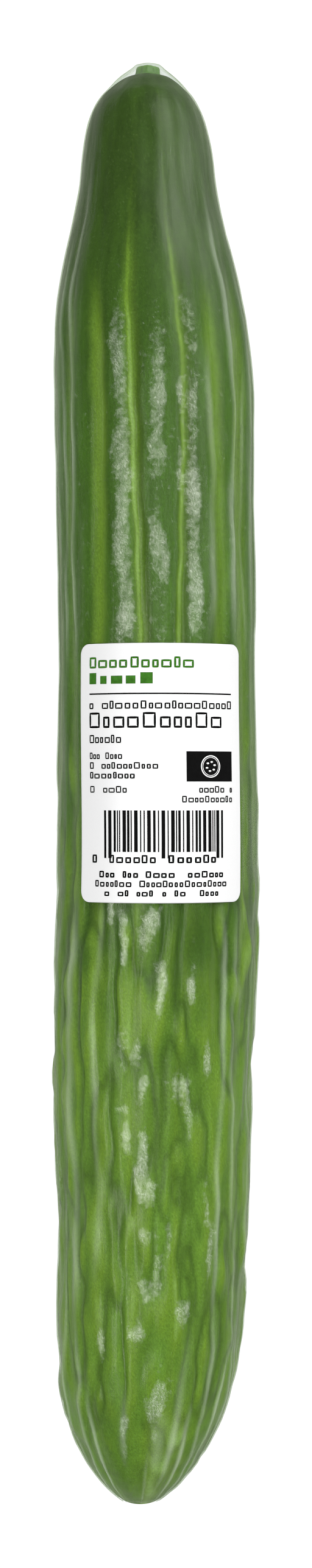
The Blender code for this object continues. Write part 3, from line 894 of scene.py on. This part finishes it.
def block_row_tree():
    """A node tree that sets filled or hollow boxes of random width side by side."""
    tree = bpy.data.node_groups.new("row of printed boxes", "GeometryNodeTree")
    add = partial(add_node, tree)
    kinds = {int: "NodeSocketInt", float: "NodeSocketFloat", bool: "NodeSocketBool"}
    sockets = {}
    for name, default in {
        "Blocks": 30, "Step": 0.27, "Narrowest Block": 1, "Widest Block": 3, "Narrowest Gap": 1,
        "Widest Gap": 2, "Height": 8.5, "Tall Height": 9.8, "Tall Every": 14, "Tall Run": 2,
        "Tall Shift": -0.5, "Blank Share": 0.0, "Hollow": False, "Stroke": 0.2,
        "Ink Thickness": INK_THICKNESS, "Ink": None, "Seed": 0,
    }.items():
        kind = kinds.get(type(default), "NodeSocketMaterial")
        item = tree.interface.new_socket(name, in_out="INPUT", socket_type=kind)
        if default is not None:
            item.default_value = default
        sockets[name] = item.identifier
    tree.interface.new_socket("Geometry", in_out="OUTPUT", socket_type="NodeSocketGeometry")
    given = add("NodeGroupInput").outputs
    seeds = [add("ShaderNodeMath", (given["Seed"], apart), operation="ADD")
             for apart in (0.0, 100.0, 200.0)]
    block, gap = (
        add("FunctionNodeRandomValue", {
            "Min": given["Narrowest " + kind], "Max": given["Widest " + kind], "Seed": seed,
        }, data_type="INT") for kind, seed in zip(("Block", "Gap"), seeds))
    drawn = add("FunctionNodeRandomValue", {"Min": 0.0, "Max": 1.0, "Seed": seeds[2]})
    shown = add("FunctionNodeCompare", (drawn, given["Blank Share"]), operation="GREATER_EQUAL")
    width = add("ShaderNodeMath", (block, given["Step"]), operation="MULTIPLY")
    pitch = add("ShaderNodeMath", (gap, given["Step"], width), operation="MULTIPLY_ADD")
    before = add("GeometryNodeAccumulateField", {"Value": pitch}).outputs["Trailing"]
    middle = add("ShaderNodeMath", (width, 0.5, before), operation="MULTIPLY_ADD")
    index = add("GeometryNodeInputIndex")
    turn = add("ShaderNodeMath", (index, given["Tall Every"]), operation="MODULO")
    tall = add("ShaderNodeMath", (turn, given["Tall Run"]), operation="LESS_THAN")
    extra = add("ShaderNodeMath", (given["Tall Height"], given["Height"]), operation="SUBTRACT")
    extra = add("ShaderNodeMath", (extra, tall), operation="MULTIPLY")
    height = add("ShaderNodeMath", (given["Height"], extra), operation="ADD")
    rise = add("ShaderNodeMath", (extra, given["Tall Shift"]), operation="MULTIPLY")
    place = add("ShaderNodeCombineXYZ", (middle, rise))
    line = add("GeometryNodeMeshLine", {"Count": given["Blocks"], "Offset": (0, 0, 0)})
    points = add("GeometryNodeSetPosition", {"Geometry": line, "Position": place})
    # Hollow boxes are outlines of the same size, less one stroke
    stroke, ink = given["Stroke"], given["Ink Thickness"]
    inner = [add("ShaderNodeMath", (side, stroke), operation="SUBTRACT")
             for side in (width, height)]
    size = add("ShaderNodeCombineXYZ", (width, height, ink))
    inner_size = add("ShaderNodeCombineXYZ", (*inner, 1.0))
    cube = add("GeometryNodeMeshCube", {"Size": (1, 1, 1), "Vertices X": 3, "Vertices Y": 5})
    square = add("GeometryNodeCurvePrimitiveQuadrilateral", {"Width": 1.0, "Height": 1.0})
    square = add("GeometryNodeSubdivideCurve", {"Curve": square, "Cuts": 3})
    rows = []
    for shape, scale in ((cube, size), (square, inner_size)):
        row = add("GeometryNodeInstanceOnPoints", {
            "Points": points, "Selection": shown, "Instance": shape, "Scale": scale})
        rows.append(add("GeometryNodeRealizeInstances", {"Geometry": row}))
    mitred = add("ShaderNodeMath", (stroke, math.sqrt(2)), operation="MULTIPLY")
    section = add("GeometryNodeCurvePrimitiveQuadrilateral", {"Width": mitred, "Height": ink})
    hollow = add("GeometryNodeCurveToMesh", {"Curve": rows[1], "Profile Curve": section})
    real = add("GeometryNodeSwitch", {
        "Switch": given["Hollow"], "False": rows[0], "True": hollow}, input_type="GEOMETRY")
    inked = add("GeometryNodeSetMaterial", {"Geometry": real, "Material": given["Ink"]})
    add("NodeGroupOutput", {"Geometry": inked})
    return tree, sockets


def block_row(tree, sockets, values, left, right, middle):
    """One row of blocks as a bmesh in mm, stretched between its left and right edge."""
    holder = new_object("row of blocks", bpy.data.meshes.new("row of blocks"))
    maker = holder.modifiers.new("blocks", "NODES")
    maker.node_group = tree
    for name, value in values.items():
        maker[sockets[name]] = value
    apply_modifiers(holder)
    bm = bmesh.new()
    bm.from_mesh(holder.data)
    low, high = min(v.co.x for v in bm.verts), max(v.co.x for v in bm.verts)
    for vertex in bm.verts:
        vertex.co.x = left + (vertex.co.x - low) / (high - low) * (right - left)
        vertex.co.y += middle
    bpy.data.objects.remove(holder, do_unlink=True)
    return bm


def printed_plate(left, right, bottom, top):
    """A solid printed bar as a bmesh in mm, cut every 0.5 mm to bend."""
    bm = bmesh.new()
    bmesh.ops.create_cube(bm, size=1.0)
    for vertex in bm.verts:
        vertex.co.x = left + (vertex.co.x + 0.5) * (right - left)
        vertex.co.y = bottom + (vertex.co.y + 0.5) * (top - bottom)
        vertex.co.z *= INK_THICKNESS
    long_edges = [e for e in bm.edges if abs(e.verts[0].co.x - e.verts[1].co.x) > 1e-6]
    cuts = max(int((right - left) / 0.5), 1)
    bmesh.ops.subdivide_edges(bm, edges=long_edges, cuts=cuts, use_grid_fill=False)
    return bm


def ring_of_ink(radius, width, middle, sides=48, squash=1.0):
    """A flat ring as a bmesh in mm."""
    bm = bmesh.new()
    loops = []
    for k in range(sides):
        a = 2 * math.pi * k / sides
        loops.append([
            bm.verts.new((middle[0] + r * math.cos(a), middle[1] + squash * r * math.sin(a), z))
            for r in (radius - width, radius) for z in (-INK_THICKNESS / 2, INK_THICKNESS / 2)])
    for one, two in zip(loops, loops[1:] + loops[:1]):
        for a, b in ((0, 1), (1, 3), (3, 2), (2, 0)):
            bm.faces.new((one[a], one[b], two[b], two[a]))
    return bm


def bend_onto_label(parts, name, material, lift):
    """Joins flat printed parts in mm and bends them onto the label's face."""
    joined = bmesh.new()
    for part in parts:
        piece = bpy.data.meshes.new("part")
        part.to_mesh(piece)
        part.free()
        joined.from_mesh(piece)
        bpy.data.meshes.remove(piece)
    mesh = bpy.data.meshes.new(name)
    joined.to_mesh(mesh)
    joined.free()
    flat = np.empty(len(mesh.vertices) * 3)
    mesh.vertices.foreach_get("co", flat)
    flat = flat.reshape(-1, 3)
    bent = on_label(flat[:, 0], flat[:, 1], flat[:, 2] + lift)
    mesh.vertices.foreach_set("co", bent.ravel())
    mesh.update()
    face_outwards(mesh)
    printed = new_object(name, mesh, material)
    printed.data.shade_flat()
    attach(printed, "root")


class CUCUMBER_OT_add_print(bpy.types.Operator):
    """Adds the label's plain print: blocks in place of words, a barcode and a slice sign"""

    bl_idname = "cucumber.add_print"
    bl_label = "Label Print"

    def execute(self, context):
        settings = context.scene.cucumber_label
        black = made_of("thermal ink, black", printing_ink, settings.black_ink)
        green = made_of("flexo ink, green", printing_ink, settings.green_ink)
        white = made_of("flexo ink, white", printing_ink, settings.paper)
        tree, sockets = block_row_tree()
        lift = settings.thickness / MM + INK_THICKNESS
        bars = block_row(tree, sockets, {"Ink": black, "Seed": 5}, -12.4, 13.4, -11.9)
        parts = [bars, *(printed_plate(*plate) for plate in PLATES)]
        for rows, ink, name in ((BLACK_ROWS, black, "print_black"),
                                (GREEN_ROWS, green, "print_green")):
            for count, left, right, bottom, top, blank, stroke, seed in rows:
                tall = top - bottom
                # Every fourth box is as tall as the row, and the others stop short of its top
                parts.append(block_row(tree, sockets, {
                    "Blocks": count, "Step": (right - left) / (12 * count),
                    "Narrowest Block": 6, "Widest Block": 11, "Narrowest Gap": 3,
                    "Widest Gap": 4, "Height": tall * 0.72, "Tall Height": float(tall),
                    "Tall Every": 4, "Tall Run": 1, "Tall Shift": 0.5,
                    "Blank Share": float(blank), "Hollow": stroke > 0,
                    "Stroke": float(stroke), "Ink": ink, "Seed": seed,
                }, left, right, bottom + tall * 0.36))
            bend_onto_label(parts, name, ink, lift)
            parts = []
        # A cucumber slice: its rind, a thin ring in it, and six seeds
        x, y = SIGN_MIDDLE
        sign = [ring_of_ink(2.3, 0.22, SIGN_MIDDLE), ring_of_ink(1.9, 0.1, SIGN_MIDDLE)]
        for k in range(6):
            a = math.pi / 3 * k + 0.3
            seed_place = (x + 0.95 * math.cos(a), y + 0.95 * math.sin(a))
            sign.append(ring_of_ink(0.3, 0.27, seed_place, sides=16, squash=0.6))
        bend_onto_label(sign, "print_slice_sign", white, lift + INK_THICKNESS + 0.004)
        return {"FINISHED"}


class CUCUMBER_OT_add_studio(bpy.types.Operator):
    """Adds the white table, the soft lights and the camera straight above"""

    bl_idname = "cucumber.add_studio"
    bl_label = "Studio"

    def execute(self, context):
        scene, settings = context.scene, context.scene.cucumber_studio
        half, below = 1.6, -0.1 * MM
        corners = [(x * half, y * half, below) for x, y in ((-1, -1), (1, -1), (1, 1), (-1, 1))]
        mesh = new_mesh("table", corners, [(0, 1, 2, 3)])
        new_object("table", mesh, made_of("acrylic table, back-lit", white_table))
        for name, energy, place, target, size in (
            ("overhead light", settings.overhead, (0.02, 0.02, 0.95), (0.02, 0.02, 0), (0.3, 0.5)),
            ("left light", settings.left, (-0.4, -0.12, 0.6), (0, -0.05, 0), (0.55, 0.2)),
            ("right light", settings.right, (0.4, 0.2, 0.54), (0, 0.06, 0), (0.4, 0.15)),
            ("stem end light", settings.side, (0.62, 0.55, 0.5), (0, 0.1, 0), (1.1, 0.6)),
            ("right strip", settings.strip, (0.75, -0.1, 0.45), (0, 0, 0), (1.0, 0.1)),
        ):
            lamp = bpy.data.lights.new(name, "AREA")
            lamp.shape = "RECTANGLE"
            lamp.size, lamp.size_y = size
            lamp.energy = energy
            light = new_object(name, lamp)
            light.location = place
            aim = Vector(target) - Vector(place)
            light.rotation_euler = aim.to_track_quat("-Z", "Y").to_euler()
        scene.world = bpy.data.worlds.new("studio")
        scene.world.use_nodes = True
        sky = scene.world.node_tree.nodes["Background"].inputs
        sky["Color"].default_value = WHITE
        sky["Strength"].default_value = settings.sky
        scene.view_settings.view_transform = "Standard"
        eye = bpy.data.cameras.new("camera")
        eye.sensor_width = 36
        eye.lens = eye.sensor_width * settings.camera_distance / settings.view_length
        eye.clip_start, eye.clip_end = 0.01, 20
        scene.camera = new_object("camera", eye)
        scene.camera.location = (0, 0, settings.camera_distance + AXIS_HEIGHT * MM)
        return {"FINISHED"}


OPERATORS = (
    CUCUMBER_OT_add_fruit, CUCUMBER_OT_add_stem, CUCUMBER_OT_add_film, CUCUMBER_OT_add_label,
    CUCUMBER_OT_add_print, CUCUMBER_OT_add_studio,
)
SETTINGS = {
    "cucumber_skin": SkinSettings, "cucumber_stem": StemSettings, "cucumber_film": FilmSettings,
    "cucumber_label": LabelSettings, "cucumber_studio": StudioSettings,
}


class CUCUMBER_PT_builder(bpy.types.Panel):
    bl_idname = "CUCUMBER_PT_builder"
    bl_label = "Shrink-wrapped Cucumber"
    bl_space_type = "VIEW_3D"
    bl_region_type = "UI"
    bl_category = "Cucumber"

    def draw(self, context):
        for name, group in SETTINGS.items():
            box = self.layout.box()
            for prop in group.__annotations__:
                box.prop(getattr(context.scene, name), prop)
        for operator in OPERATORS:
            self.layout.operator(operator.bl_idname)


CLASSES = (*SETTINGS.values(), *OPERATORS, CUCUMBER_PT_builder)


def register():
    for item in CLASSES:
        bpy.utils.register_class(item)
    for name, group in SETTINGS.items():
        setattr(bpy.types.Scene, name, PointerProperty(type=group))


def unregister():
    for name in SETTINGS:
        delattr(bpy.types.Scene, name)
    for item in reversed(CLASSES):
        bpy.utils.unregister_class(item)


def main():
    register()
    bpy.ops.cucumber.add_fruit()
    bpy.ops.cucumber.add_stem()
    bpy.ops.cucumber.add_film()
    bpy.ops.cucumber.add_label()
    bpy.ops.cucumber.add_print()
    bpy.ops.cucumber.add_studio()


if __name__ == "__main__":
    main()
